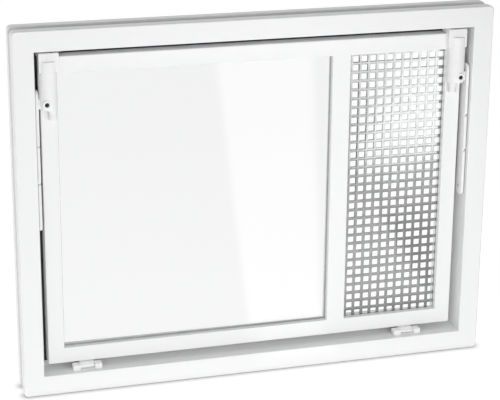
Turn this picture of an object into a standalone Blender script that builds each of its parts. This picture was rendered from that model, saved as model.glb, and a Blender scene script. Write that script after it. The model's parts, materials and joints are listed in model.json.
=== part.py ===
"""White tilt-in utility window with a glazed field and a perforated steel vent field.

The room side faces -Y, +Z is up and +X is to the right as seen from the room. The origin is
the bottom centre of the outer frame's box. The sash is hinged along its lower edge and tilts
into the room; a slotted guide on each jamb leads the stays, and two slide bolts lock it.
"""

import math

import bmesh
import bpy
from mathutils import Matrix, Vector

MM = 0.001

# Clearances
TOUCH = 0.3 * MM  # between pieces that rest on each other
FIXED_FIT = 0.03 * MM  # radial, a pin held in its bore
RUNNING_FIT = 0.06 * MM  # radial, a pin or bolt that moves in its bore

# Outer frame
WIDTH = 850 * MM
HEIGHT = 650 * MM
DEPTH = 60 * MM
FRAME_FACE = 36 * MM  # outer edge to reveal
FLANGE = 19 * MM  # thickness of the front and rear flanges
WALL_GROOVE = 12 * MM  # depth of the groove between the flanges
LIP_INSET = 56 * MM  # outer edge to the lip's free edge
LIP_THICK = 7.5 * MM
FRAME_CORNER = 8 * MM
FRAME_EDGE = 2.5 * MM  # rounding along the outer front edge
PROFILE_EDGE = 1.5 * MM  # rounding along the other shown edges of every profile
SEAL_INSET = 44.5 * MM
SEAL_WIDE = 10.5 * MM
FRONT = -DEPTH / 2
REAR = DEPTH / 2
HALF_WIDTH = WIDTH / 2
REVEAL_X = HALF_WIDTH - FRAME_FACE
SILL_Z = FRAME_FACE
HEAD_Z = HEIGHT - FRAME_FACE

# Sash
SASH_HALF = 378 * MM
SASH_BOTTOM = 47.5 * MM
SASH_TOP = 599.5 * MM
SASH_FACE = 28.5 * MM  # visible width of each bar
SASH_WEB = 18.5 * MM  # width behind the glazing rebate
SASH_FRONT = FRONT + 24 * MM
SASH_REAR = FRONT + 50 * MM
LEG_REAR = FRONT + 34.5 * MM  # back of the front leg that the infills bear on
SASH_CORNER = 3 * MM
SASH_EDGE = 2 * MM
MULLION_LEFT = 136 * MM
MULLION_RIGHT = 169.5 * MM
MULLION_WEB = 13.5 * MM

# Infills
GASKET_THICK = 1.9 * MM
GASKET_SHOWS = 2 * MM  # stands out past the bar's edge
GLASS_THICK = 4 * MM
SHEET_THICK = 1 * MM
INFILL_FRONT = LEG_REAR + GASKET_THICK + 2 * TOUCH
EDGE_ROOM = 1 * MM  # play between an infill and its rebate
HOLE_PITCH = 16 * MM
HOLE_SIZE = 10.5 * MM
HOLE_COLUMNS = 12
HOLE_ROWS = 31
FIRST_HOLE_X = 167 * MM
FIRST_HOLE_Z = 80 * MM

# Hinges
AXIS_Y = FRONT + 16 * MM
AXIS_Z = 42 * MM
HINGE_X = {"left": -310.5 * MM, "right": 289 * MM}
HINGE_LENGTH = 52 * MM
HINGE_SLOT = 26 * MM
HINGE_TOP = 46.6 * MM
HINGE_FRONT = FRONT + 8 * MM
HINGE_FLOOR = SILL_Z + 1.8 * MM  # bottom of the block's slot
HINGE_WALL = 2 * MM  # material past each end of the pin's bore
KNUCKLE_RADIUS = 3.8 * MM
KNUCKLE_PLAY = 0.5 * MM
LEAF_RISE = 2.2 * MM  # the leaf's underside over the axis
LEAF_REAR = FRONT + 40 * MM
HINGE_PIN_RADIUS = 1.75 * MM
TILT_MAX = math.radians(15)

# Latches
BLOCK_INNER = 346 * MM
BLOCK_OUTER = 380 * MM
BLOCK_BOTTOM = 576 * MM
BLOCK_TOP = 610 * MM
BLOCK_FRONT = FRONT + 10 * MM
BLOCK_REAR = FRONT + 44 * MM
HOUSING_X = 364.5 * MM
HOUSING_Y = FRONT + 20.5 * MM
HOUSING_RADIUS = 16 * MM
HOUSING_BOTTOM = 512 * MM
HOUSING_TOP = 595 * MM
BOLT_X = 358.2 * MM
BOLT_Y = FRONT + 15 * MM
BOLT_RADIUS = 4 * MM
BOLT_TOP = 609 * MM
BOLT_TRAVEL = 9 * MM
KNOB_RADIUS = 7 * MM
KNOB_BOTTOM = 494 * MM
KNOB_TOP = 513 * MM
KNOB_FLOOR = 6 * MM  # below the bolt's seat in the knob
KNOB_ROOM = 0.3 * MM
CAVITY_ROOM = 0.5 * MM  # over the raised knob
POCKET_ROOM = 0.6 * MM  # round the bolt in the frame's head
POCKET_OVER = 3 * MM  # over the raised bolt
RING_Z = 560 * MM
RING_MAJOR = 3.25 * MM
RING_MINOR = 0.75 * MM
GROOVE_RADIUS = 2.4 * MM
GROOVE_HALF = 1 * MM
BOSS_X = 369 * MM
BOSS_Z = 523 * MM
BOSS_RADIUS = 7.5 * MM
BOSS_FRONT = FRONT + 3 * MM
SCREW_RADIUS = 1.8 * MM
SCREW_HEAD_RADIUS = 3.6 * MM
SCREW_HEAD_TOP = BOSS_FRONT + 1.5 * MM
SCREW_HEAD_THICK = 2.2 * MM
SCREW_LENGTH = 12 * MM  # inside the stile
SINK_RADIUS = 4 * MM
SINK_DEEP = 4 * MM
EAR_HALF = 8 * MM  # the ear that holds the stay's pin
EAR_ROUND = 7.5 * MM
EAR_ROOT = 7 * MM  # into the housing
KEEPER_INNER = 343 * MM
KEEPER_OUTER = 384 * MM
KEEPER_FRONT = FRONT + 4 * MM
KEEPER_REAR = FRONT + 26 * MM
KEEPER_THICK = 1.3 * MM
KEEPER_ROOM = 0.5 * MM

# Stays
STAY_INNER = 382.2 * MM
STAY_THICK = 5 * MM
STAY_FRONT = FRONT + 9 * MM
STAY_WIDTH = 27 * MM
STAY_BOTTOM = 300 * MM
STAY_TOP = 545 * MM
STAY_ROUND = 10 * MM
PIVOT_Y = STAY_FRONT + STAY_WIDTH / 2
PIVOT_Z = 523 * MM
PIVOT_RADIUS = 3 * MM
PIVOT_HEAD_RADIUS = 4.6 * MM
PIVOT_HEAD_PLAY = 0.1 * MM
PIVOT_HEAD_THICK = 0.9 * MM
STUD_Z = 316 * MM
STUD_RADIUS = 3 * MM
STUD_SHANK = 2.5 * MM
STUD_ROOM = 0.3 * MM
NOTCHES_Z = (385.5 * MM, 451 * MM)
NOTCH_HALF = 2.5 * MM
NOTCH_DEEP = 4.5 * MM
STAY_RATIO = 2.45  # the stay's lean over the sash's tilt
GUIDE_DEEP = 6 * MM

SIDES = {"left": -1, "right": 1}
ROUND_STEPS = 32
SMALL_STEPS = 24
SCREW_STEPS = 16


def clear_scene():
    for obj in list(bpy.data.objects):
        bpy.data.objects.remove(obj, do_unlink=True)


def make_material(name, colour, roughness, metallic=0.0, alpha=1.0):
    material = bpy.data.materials.new(name)
    material.use_nodes = True
    shader = material.node_tree.nodes["Principled BSDF"]
    shader.inputs["Base Color"].default_value = (*colour, 1.0)
    shader.inputs["Roughness"].default_value = roughness
    shader.inputs["Metallic"].default_value = metallic
    shader.inputs["Alpha"].default_value = alpha
    return material


def finish(name, mesh_data, material, origin=(0, 0, 0), parent=None):
    """Turn a bmesh in world coordinates into a named object whose origin is at origin."""
    bmesh.ops.recalc_face_normals(mesh_data, faces=mesh_data.faces)
    bmesh.ops.translate(mesh_data, verts=mesh_data.verts, vec=-Vector(origin))
    mesh = bpy.data.meshes.new(name)
    mesh_data.to_mesh(mesh)
    mesh_data.free()
    mesh.materials.append(material)
    obj = bpy.data.objects.new(name, mesh)
    bpy.context.scene.collection.objects.link(obj)
    obj.location = origin
    if parent is not None:
        obj.parent = parent
        obj.matrix_parent_inverse = Matrix.Translation(-parent.location)
    return obj


def make_round(obj):
    obj.data.shade_smooth()
    obj.data.set_sharp_from_angle(angle=math.radians(35))


def box(low, high):
    shape = bmesh.new()
    bmesh.ops.create_cube(shape, size=1.0)
    size = Vector(high) - Vector(low)
    bmesh.ops.scale(shape, verts=shape.verts, vec=size)
    bmesh.ops.translate(shape, verts=shape.verts, vec=(Vector(low) + Vector(high)) / 2)
    return shape


def prism(outline, axis, low, high):
    """Extrude a flat outline along X, Y or Z; its points hold the other two coordinates."""
    shape = bmesh.new()

    def place(pair, along):
        spot = list(pair)
        spot.insert("XYZ".index(axis), along)
        return shape.verts.new(spot)

    near = [place(pair, low) for pair in outline]
    far = [place(pair, high) for pair in outline]
    shape.faces.new(near)
    shape.faces.new(far)
    for i in range(len(outline)):
        j = (i + 1) % len(outline)
        shape.faces.new((near[i], near[j], far[j], far[i]))
    bmesh.ops.recalc_face_normals(shape, faces=shape.faces)
    return shape


def circle(centre, radius, steps=ROUND_STEPS, start=0.0, sweep=math.tau):
    closed = abs(sweep) >= math.tau
    count = steps if closed else steps + 1
    angles = [start + sweep * i / steps for i in range(count)]
    return [(centre[0] + radius * math.cos(a), centre[1] + radius * math.sin(a)) for a in angles]


def rod(centre, radius, axis, low, high, steps=ROUND_STEPS):
    return prism(circle(centre, radius, steps), axis, low, high)


def torus(centre, major, minor, around=20, across=6):
    shape = bmesh.new()
    rings = []
    for i in range(around):
        turn = math.tau * i / around
        ring = []
        for j in range(across):
            roll = math.tau * j / across
            radius = major + minor * math.cos(roll)
            spot = (radius * math.cos(turn), radius * math.sin(turn), minor * math.sin(roll))
            ring.append(shape.verts.new(Vector(centre) + Vector(spot)))
        rings.append(ring)
    for i in range(around):
        near, far = rings[i], rings[(i + 1) % around]
        for j in range(across):
            k = (j + 1) % across
            shape.faces.new((near[j], near[k], far[k], far[j]))
    return shape


def rounded_outline(corners, steps=3):
    """Replace each (u, v, radius) corner of an outline with an arc."""
    points = []
    for i, (u, v, radius) in enumerate(corners):
        here = Vector((u, v))
        if radius == 0:
            points.append((u, v))
            continue
        before = (Vector(corners[i - 1][:2]) - here).normalized()
        after = (Vector(corners[(i + 1) % len(corners)][:2]) - here).normalized()
        half = before.angle(after) / 2
        centre = here + (before + after).normalized() * radius / math.sin(half)
        first = here + before * radius / math.tan(half) - centre
        last = here + after * radius / math.tan(half) - centre
        turn = first.angle_signed(last)
        for step in range(steps + 1):
            spoke = first.copy()
            spoke.rotate(Matrix.Rotation(-turn * step / steps, 2))
            points.append(tuple(centre + spoke))
    return points


def rectangle(u_low, v_low, u_high, v_high, radius=0.0):
    corners = [(u_low, v_low), (u_high, v_low), (u_high, v_high), (u_low, v_high)]
    return rounded_outline([(u, v, radius) for u, v in corners])


def combine(shape, tool, operation):
    """Cut tool from shape or join it to shape, and return the result."""
    pair = []
    for data in (shape, tool):
        mesh = bpy.data.meshes.new("work")
        data.to_mesh(mesh)
        data.free()
        obj = bpy.data.objects.new("work", mesh)
        bpy.context.scene.collection.objects.link(obj)
        pair.append(obj)
    body, other = pair
    step = body.modifiers.new("step", "BOOLEAN")
    step.operation = operation
    step.solver = "EXACT"
    step.object = other
    bpy.context.view_layer.update()
    result = bmesh.new()
    result.from_mesh(body.evaluated_get(bpy.context.evaluated_depsgraph_get()).data)
    for obj in pair:
        bpy.data.objects.remove(obj, do_unlink=True)
    bmesh.ops.remove_doubles(result, verts=result.verts, dist=0.001 * MM)
    return result


def cut(shape, tool):
    return combine(shape, tool, "DIFFERENCE")


def join(shape, tool):
    return combine(shape, tool, "UNION")


def mirrored_x(side, low, high):
    """The x range of a piece given on the right, on either side."""
    ends = (SIDES[side] * low, SIDES[side] * high)
    return min(ends), max(ends)


def ring_bar(place, half, bottom, top, section, corner):
    """One mitred bar of a rectangular ring; section points are (inset from the outer edge, y).

    The two ends follow the ring's rounded corners as far as its diagonals, less half the joint.
    """
    length = 2 * half if place in ("head", "sill") else top - bottom
    turns = [math.radians(45), math.radians(22.5), 0.0]
    joint = TOUCH / 2 * math.sqrt(2)
    shape = bmesh.new()

    def station(turn, far_end):
        ring = []
        for inset, y in section:
            radius = max(corner - inset, 0.0)
            centre = max(corner, inset)
            along = centre - radius * math.sin(turn) + joint
            across = centre - radius * math.cos(turn)
            if far_end:
                along = length - along
            spots = {
                "sill": (-half + along, y, bottom + across),
                "head": (half - along, y, top - across),
                "left": (-half + across, y, top - along),
                "right": (half - across, y, bottom + along),
            }
            ring.append(shape.verts.new(spots[place]))
        return ring

    rings = [station(turn, False) for turn in turns]
    rings += [station(turn, True) for turn in reversed(turns)]
    for near, far in zip(rings, rings[1:]):
        for i in range(len(section)):
            j = (i + 1) % len(section)
            shape.faces.new((near[i], near[j], far[j], far[i]))
    shape.faces.new(rings[0])
    shape.faces.new(rings[-1])
    bmesh.ops.remove_doubles(shape, verts=shape.verts, dist=0.001 * MM)
    bmesh.ops.dissolve_degenerate(shape, edges=shape.edges, dist=0.001 * MM)
    bmesh.ops.recalc_face_normals(shape, faces=shape.faces)
    return shape


def flat_ring(low, high, wide, y_low, y_high):
    """A rectangular ring lying in the XZ plane, wide towards its inside."""
    outer = box((low[0], y_low, low[1]), (high[0], y_high, high[1]))
    inner = box(
        (low[0] + wide[0], y_low - MM, low[1] + wide[1]),
        (high[0] - wide[2], y_high + MM, high[1] - wide[3]),
    )
    return cut(outer, inner)


def frame_section():
    return rounded_outline(
        [
            (0, FRONT, FRAME_EDGE),
            (0, FRONT + FLANGE, 0),
            (WALL_GROOVE, FRONT + FLANGE, 0),
            (WALL_GROOVE, REAR - FLANGE, 0),
            (0, REAR - FLANGE, 0),
            (0, REAR, PROFILE_EDGE),
            (LIP_INSET, REAR, 0),
            (LIP_INSET, REAR - LIP_THICK, 0),
            (FRAME_FACE, REAR - LIP_THICK, 0),
            (FRAME_FACE, FRONT, PROFILE_EDGE),
        ]
    )


def sash_section():
    return rounded_outline(
        [
            (0, SASH_FRONT, SASH_EDGE),
            (0, SASH_REAR, 0),
            (SASH_WEB, SASH_REAR, 0),
            (SASH_WEB, LEG_REAR, 0),
            (SASH_FACE, LEG_REAR, 0),
            (SASH_FACE, SASH_FRONT, PROFILE_EDGE),
        ]
    )


def stud_spot(tilt):
    """Where the stay's guide stud is, in (y, z), when the sash is tilted by that angle."""
    pivot = Vector((PIVOT_Y - AXIS_Y, PIVOT_Z - AXIS_Z))
    pivot.rotate(Matrix.Rotation(tilt, 2))
    lean = STAY_RATIO * tilt
    length = PIVOT_Z - STUD_Z
    y = AXIS_Y + pivot.x + length * math.sin(lean)
    z = AXIS_Z + pivot.y - length * math.cos(lean)
    return Vector((y, z))


def guide_outline():
    """The guide slot's outline in (y, z): the stud's path, widened by its radius and room."""
    reach = STUD_RADIUS + STUD_ROOM
    steps = 10
    end_steps = 8
    path = [stud_spot(TILT_MAX * i / steps) for i in range(steps + 1)]
    sides = []
    for i in range(steps + 1):
        heading = (path[min(i + 1, steps)] - path[max(i - 1, 0)]).normalized()
        sides.append(Vector((-heading.y, heading.x)) * reach)
    start = math.atan2(sides[0].y, sides[0].x)
    end = math.atan2(-sides[-1].y, -sides[-1].x)
    outline = [tuple(p + s) for p, s in zip(path[1:-1], sides[1:-1])]
    outline += circle(path[-1], reach, end_steps, end + math.pi, -math.pi)
    outline += [tuple(p - s) for p, s in zip(path[-2:0:-1], sides[-2:0:-1])]
    outline += circle(path[0], reach, end_steps, start + math.pi, -math.pi)
    return outline


def build_frame(plastic):
    section = frame_section()
    finish("frame_sill", ring_bar("sill", HALF_WIDTH, 0, HEIGHT, section, FRAME_CORNER), plastic)
    head = ring_bar("head", HALF_WIDTH, 0, HEIGHT, section, FRAME_CORNER)
    pocket_top = BOLT_TOP + BOLT_TRAVEL + POCKET_OVER
    for sign in SIDES.values():
        spot = (sign * BOLT_X, BOLT_Y)
        head = cut(head, rod(spot, BOLT_RADIUS + POCKET_ROOM, "Z", HEAD_Z - MM, pocket_top))
    finish("frame_head", head, plastic)
    for side in SIDES:
        bar = ring_bar(side, HALF_WIDTH, 0, HEIGHT, section, FRAME_CORNER)
        low, high = mirrored_x(side, REVEAL_X - MM, REVEAL_X + GUIDE_DEEP)
        bar = cut(bar, prism(guide_outline(), "X", low, high))
        finish("frame_jamb_" + side, bar, plastic)


def build_rebate_seal(rubber):
    shape = flat_ring(
        (-HALF_WIDTH + SEAL_INSET, SEAL_INSET),
        (HALF_WIDTH - SEAL_INSET, HEIGHT - SEAL_INSET),
        (SEAL_WIDE, SEAL_WIDE, SEAL_WIDE, SEAL_WIDE),
        SASH_REAR + TOUCH,
        REAR - LIP_THICK - TOUCH,
    )
    finish("rebate_seal", shape, rubber)


def build_sash_bars(plastic, pivot):
    names = {
        "head": "sash_top_rail",
        "sill": "sash_bottom_rail",
        "left": "sash_stile_left",
        "right": "sash_stile_right",
    }
    for place, name in names.items():
        bar = ring_bar(place, SASH_HALF, SASH_BOTTOM, SASH_TOP, sash_section(), SASH_CORNER)
        if place in SIDES:
            spot = (SIDES[place] * BOSS_X, BOSS_Z)
            hole_end = SASH_FRONT + SCREW_LENGTH + MM
            bar = cut(bar, rod(spot, SCREW_RADIUS + FIXED_FIT, "Y", SASH_FRONT - MM, hole_end))
        finish(name, bar, plastic, parent=pivot)


def build_mullion(plastic, pivot):
    middle = (MULLION_LEFT + MULLION_RIGHT) / 2
    web = (middle - MULLION_WEB / 2, middle + MULLION_WEB / 2)
    outline = rounded_outline(
        [
            (MULLION_LEFT, SASH_FRONT, PROFILE_EDGE),
            (MULLION_RIGHT, SASH_FRONT, PROFILE_EDGE),
            (MULLION_RIGHT, LEG_REAR, 0),
            (web[1], LEG_REAR, 0),
            (web[1], SASH_REAR, 0),
            (web[0], SASH_REAR, 0),
            (web[0], LEG_REAR, 0),
            (MULLION_LEFT, LEG_REAR, 0),
        ]
    )
    low = SASH_BOTTOM + SASH_FACE + TOUCH
    high = SASH_TOP - SASH_FACE - TOUCH
    finish("sash_mullion", prism(outline, "Z", low, high), plastic, parent=pivot)


def field_rebate(field):
    """The x range and z range of the rebate that an infill sits in."""
    middle = (MULLION_LEFT + MULLION_RIGHT) / 2
    low_z = SASH_BOTTOM + SASH_WEB
    high_z = SASH_TOP - SASH_WEB
    if field == "glass":
        return -SASH_HALF + SASH_WEB, middle - MULLION_WEB / 2, low_z, high_z
    return middle + MULLION_WEB / 2, SASH_HALF - SASH_WEB, low_z, high_z


def rebate_ring(field, side_depth, mullion_depth, room, y_low, y_high):
    """A ring in the rebate, side_depth wide at rails and stiles, mullion_depth at the mullion."""
    x_low, x_high, z_low, z_high = field_rebate(field)
    left = side_depth if field == "glass" else mullion_depth
    right = mullion_depth if field == "glass" else side_depth
    wide = (left - room, side_depth - room, right - room, side_depth - room)
    return flat_ring((x_low + room, z_low + room), (x_high - room, z_high - room), wide, y_low, y_high)


def build_glazing(rubber, plastic, glass, pivot):
    leg = SASH_FACE - SASH_WEB
    mullion_leg = (MULLION_RIGHT - MULLION_LEFT - MULLION_WEB) / 2
    thick = {"glass": GLASS_THICK, "mesh": SHEET_THICK}
    for field in ("glass", "mesh"):
        shows = GASKET_SHOWS if field == "glass" else 0.0
        gasket = rebate_ring(
            field, leg + shows, mullion_leg + shows, EDGE_ROOM, LEG_REAR + TOUCH, INFILL_FRONT - TOUCH
        )
        finish(field + "_gasket", gasket, rubber, parent=pivot)
        bead = rebate_ring(field, leg, mullion_leg, TOUCH, INFILL_FRONT + thick[field] + TOUCH, SASH_REAR)
        finish(field + "_bead", bead, plastic, parent=pivot)
    x_low, x_high, z_low, z_high = field_rebate("glass")
    pane = box(
        (x_low + EDGE_ROOM, INFILL_FRONT, z_low + EDGE_ROOM),
        (x_high - EDGE_ROOM, INFILL_FRONT + GLASS_THICK, z_high - EDGE_ROOM),
    )
    finish("glass_pane", pane, glass, parent=pivot)


def grid_lines(low, high, first, count):
    """The sheet's edges and both edges of each hole, in order."""
    lines = [low]
    for i in range(count):
        middle = first + i * HOLE_PITCH
        lines += [middle - HOLE_SIZE / 2, middle + HOLE_SIZE / 2]
    return lines + [high]


def build_perforated_sheet(steel, pivot):
    x_low, x_high, z_low, z_high = field_rebate("mesh")
    columns = grid_lines(x_low + EDGE_ROOM, x_high - EDGE_ROOM, FIRST_HOLE_X, HOLE_COLUMNS)
    rows = grid_lines(z_low + EDGE_ROOM, z_high - EDGE_ROOM, FIRST_HOLE_Z, HOLE_ROWS)
    shape = bmesh.new()
    lattice = [[shape.verts.new((x, INFILL_FRONT, z)) for z in rows] for x in columns]
    for i in range(len(columns) - 1):
        for j in range(len(rows) - 1):
            if i % 2 and j % 2:
                continue
            square = (lattice[i][j], lattice[i + 1][j], lattice[i + 1][j + 1], lattice[i][j + 1])
            shape.faces.new(square)
    grown = bmesh.ops.extrude_face_region(shape, geom=shape.faces[:])
    back = [item for item in grown["geom"] if isinstance(item, bmesh.types.BMVert)]
    bmesh.ops.translate(shape, verts=back, vec=(0, SHEET_THICK, 0))
    finish("perforated_sheet", shape, steel, parent=pivot)


def build_hinge(side, plastic, steel, pivot):
    x = HINGE_X[side]
    low, high = x - HINGE_LENGTH / 2, x + HINGE_LENGTH / 2
    block = box((low, HINGE_FRONT, SILL_Z + TOUCH), (high, SASH_FRONT - TOUCH, HINGE_TOP))
    slot_half = HINGE_SLOT / 2
    slot = box((x - slot_half, FRONT, HINGE_FLOOR), (x + slot_half, SASH_FRONT + MM, HINGE_TOP + MM))
    block = cut(block, slot)
    axis = (AXIS_Y, AXIS_Z)
    bore_radius = HINGE_PIN_RADIUS + FIXED_FIT
    low, high = low + HINGE_WALL, high - HINGE_WALL
    block = cut(block, rod(axis, bore_radius, "X", low, high, SMALL_STEPS))
    finish("hinge_block_" + side, block, plastic)
    pin = rod(axis, HINGE_PIN_RADIUS, "X", low + TOUCH, high - TOUCH, SMALL_STEPS)
    make_round(finish("hinge_pin_" + side, pin, steel, (x, *axis)))

    reach = slot_half - KNUCKLE_PLAY
    knuckle = rod(axis, KNUCKLE_RADIUS, "X", x - reach, x + reach, SMALL_STEPS)
    leaf_low = (x - reach, AXIS_Y, AXIS_Z + LEAF_RISE)
    knuckle = join(knuckle, box(leaf_low, (x + reach, LEAF_REAR, SASH_BOTTOM - TOUCH)))
    bore_radius = HINGE_PIN_RADIUS + RUNNING_FIT
    knuckle = cut(knuckle, rod(axis, bore_radius, "X", x - reach - MM, x + reach + MM, SMALL_STEPS))
    finish("hinge_knuckle_" + side, knuckle, plastic, (x, *axis), pivot)


def build_corner_block(side, plastic, pivot):
    tab = SASH_TOP + TOUCH
    back = SASH_FRONT - TOUCH
    outline = rounded_outline(
        [
            (BLOCK_FRONT, BLOCK_BOTTOM, 1.5 * MM),
            (back, BLOCK_BOTTOM, 0),
            (back, tab, 0),
            (BLOCK_REAR, tab, 0),
            (BLOCK_REAR, BLOCK_TOP, 1.5 * MM),
            (BLOCK_FRONT, BLOCK_TOP, 2.5 * MM),
        ]
    )
    low, high = mirrored_x(side, BLOCK_INNER, BLOCK_OUTER)
    block = prism(outline, "X", low, high)
    spot = (SIDES[side] * BOLT_X, BOLT_Y)
    hole = rod(spot, BOLT_RADIUS + RUNNING_FIT, "Z", BLOCK_BOTTOM - MM, BLOCK_TOP + MM)
    finish("corner_block_" + side, cut(block, hole), plastic, parent=pivot)


def build_housing(side, plastic, steel, pivot):
    sign = SIDES[side]
    back = SASH_FRONT - TOUCH
    drop = math.acos((back - HOUSING_Y) / HOUSING_RADIUS)
    centre = (sign * HOUSING_X, HOUSING_Y)
    shell = circle(centre, HOUSING_RADIUS, 28, math.pi / 2 + drop, math.tau - 2 * drop)
    housing = prism(shell, "Z", HOUSING_BOTTOM, HOUSING_TOP)
    low, high = mirrored_x(side, BLOCK_INNER - 5 * MM, BLOCK_OUTER + 5 * MM)
    behind = box((low, BLOCK_FRONT - TOUCH, BLOCK_BOTTOM - TOUCH), (high, SASH_FRONT, HOUSING_TOP + MM))
    housing = cut(housing, behind)
    boss = (sign * BOSS_X, BOSS_Z)
    housing = join(housing, rod(boss, BOSS_RADIUS, "Y", BOSS_FRONT, HOUSING_Y))
    low, high = mirrored_x(side, SASH_HALF + TOUCH, STAY_INNER - TOUCH)
    ear = rounded_outline(
        [
            (HOUSING_Y - EAR_ROOT, PIVOT_Z - EAR_HALF, 0),
            (PIVOT_Y + EAR_HALF, PIVOT_Z - EAR_HALF, EAR_ROUND),
            (PIVOT_Y + EAR_HALF, PIVOT_Z + EAR_HALF, EAR_ROUND),
            (HOUSING_Y - EAR_ROOT, PIVOT_Z + EAR_HALF, 0),
        ],
        6,
    )
    housing = join(housing, prism(ear, "X", low, high))
    bolt = (sign * BOLT_X, BOLT_Y)
    under = HOUSING_BOTTOM - MM
    housing = cut(housing, rod(bolt, BOLT_RADIUS + RUNNING_FIT, "Z", under, BLOCK_BOTTOM))
    cavity_top = KNOB_TOP + BOLT_TRAVEL + CAVITY_ROOM
    housing = cut(housing, rod(bolt, KNOB_RADIUS + KNOB_ROOM, "Z", under, cavity_top))
    before = BOSS_FRONT - MM
    screw_bore = rod(boss, SCREW_RADIUS + FIXED_FIT, "Y", before, SASH_FRONT, SCREW_STEPS)
    housing = cut(housing, screw_bore)
    housing = cut(housing, rod(boss, SINK_RADIUS, "Y", before, BOSS_FRONT + SINK_DEEP, SMALL_STEPS))
    pin_spot = (PIVOT_Y, PIVOT_Z)
    pin_bore = rod(pin_spot, PIVOT_RADIUS + FIXED_FIT, "X", low - MM, high + MM, SMALL_STEPS)
    housing = cut(housing, pin_bore)
    make_round(finish("latch_housing_" + side, housing, plastic, parent=pivot))

    head_back = SCREW_HEAD_TOP + SCREW_HEAD_THICK
    shank_end = SASH_FRONT + SCREW_LENGTH
    screw = rod(boss, SCREW_RADIUS, "Y", head_back - MM, shank_end, SCREW_STEPS)
    screw = join(screw, rod(boss, SCREW_HEAD_RADIUS, "Y", SCREW_HEAD_TOP, head_back, SMALL_STEPS))
    make_round(finish("housing_screw_" + side, screw, steel, parent=pivot))

    head = STAY_INNER + STAY_THICK + PIVOT_HEAD_PLAY
    low, high = mirrored_x(side, SASH_HALF + 2 * TOUCH, head + PIVOT_HEAD_THICK / 2)
    pin = rod(pin_spot, PIVOT_RADIUS, "X", low, high, SMALL_STEPS)
    low, high = mirrored_x(side, head, head + PIVOT_HEAD_THICK)
    pin = join(pin, rod(pin_spot, PIVOT_HEAD_RADIUS, "X", low, high, SMALL_STEPS))
    make_round(finish("stay_pivot_pin_" + side, pin, steel, parent=pivot))


def build_bolt(side, plastic, steel, rubber, pivot):
    sign = SIDES[side]
    spot = (sign * BOLT_X, BOLT_Y)
    origin = (*spot, BOLT_TOP)
    foot = KNOB_BOTTOM + KNOB_FLOOR
    bolt = rod(spot, BOLT_RADIUS, "Z", foot + TOUCH, BOLT_TOP)
    groove_low, groove_high = RING_Z - GROOVE_HALF, RING_Z + GROOVE_HALF
    groove = rod(spot, BOLT_RADIUS + 2 * MM, "Z", groove_low, groove_high)
    groove = cut(groove, rod(spot, GROOVE_RADIUS, "Z", groove_low - MM, groove_high + MM))
    bolt = cut(bolt, groove)
    make_round(finish("latch_bolt_" + side, bolt, steel, origin, pivot))
    knob = rod(spot, KNOB_RADIUS, "Z", KNOB_BOTTOM, KNOB_TOP)
    knob = cut(knob, rod(spot, BOLT_RADIUS + FIXED_FIT, "Z", foot, KNOB_TOP + MM))
    make_round(finish("latch_knob_" + side, knob, plastic, origin, pivot))
    ring = torus((*spot, RING_Z), RING_MAJOR, RING_MINOR)
    make_round(finish("bolt_ring_" + side, ring, rubber, origin, pivot))


def build_keeper(side, steel):
    sign = SIDES[side]
    low, high = mirrored_x(side, KEEPER_INNER, KEEPER_OUTER)
    top = HEAD_Z - TOUCH
    bottom = top - KEEPER_THICK
    plate = box((low, KEEPER_FRONT, bottom), (high, KEEPER_REAR, top))
    spot = (sign * BOLT_X, BOLT_Y)
    plate = cut(plate, rod(spot, BOLT_RADIUS + KEEPER_ROOM, "Z", bottom - MM, top + MM))
    finish("keeper_plate_" + side, plate, steel)


def build_stay(side, steel, pivot):
    low, high = mirrored_x(side, STAY_INNER, STAY_INNER + STAY_THICK)
    outline = rectangle(STAY_FRONT, STAY_BOTTOM, STAY_FRONT + STAY_WIDTH, STAY_TOP, STAY_ROUND)
    plate = prism(outline, "X", low, high)
    for z in NOTCHES_Z:
        tooth = [
            (STAY_FRONT - MM, z - NOTCH_HALF),
            (STAY_FRONT + NOTCH_DEEP, z - NOTCH_HALF * 0.4),
            (STAY_FRONT + NOTCH_DEEP, z + NOTCH_HALF),
            (STAY_FRONT - MM, z + NOTCH_HALF),
        ]
        plate = cut(plate, prism(tooth, "X", low - MM, high + MM))
    pivot_spot = (PIVOT_Y, PIVOT_Z)
    pivot_bore = rod(pivot_spot, PIVOT_RADIUS + RUNNING_FIT, "X", low - MM, high + MM, SMALL_STEPS)
    plate = cut(plate, pivot_bore)
    stud_place = (PIVOT_Y, STUD_Z)
    stud_bore = rod(stud_place, STUD_SHANK + FIXED_FIT, "X", low - MM, high + MM, SMALL_STEPS)
    plate = cut(plate, stud_bore)
    origin = (SIDES[side] * STAY_INNER, PIVOT_Y, PIVOT_Z)
    finish("stay_" + side, plate, steel, origin, pivot)
    stud = rod(stud_place, STUD_SHANK, "X", low, high, SMALL_STEPS)
    outside = STAY_INNER + STAY_THICK + TOUCH
    low, high = mirrored_x(side, outside, REVEAL_X + GUIDE_DEEP - MM)
    neck = mirrored_x(side, outside - MM, outside + MM)
    stud = join(stud, rod(stud_place, STUD_SHANK, "X", *neck, SMALL_STEPS))
    stud = join(stud, rod(stud_place, STUD_RADIUS, "X", low, high, SMALL_STEPS))
    make_round(finish("stay_stud_" + side, stud, steel, origin, pivot))


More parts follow.
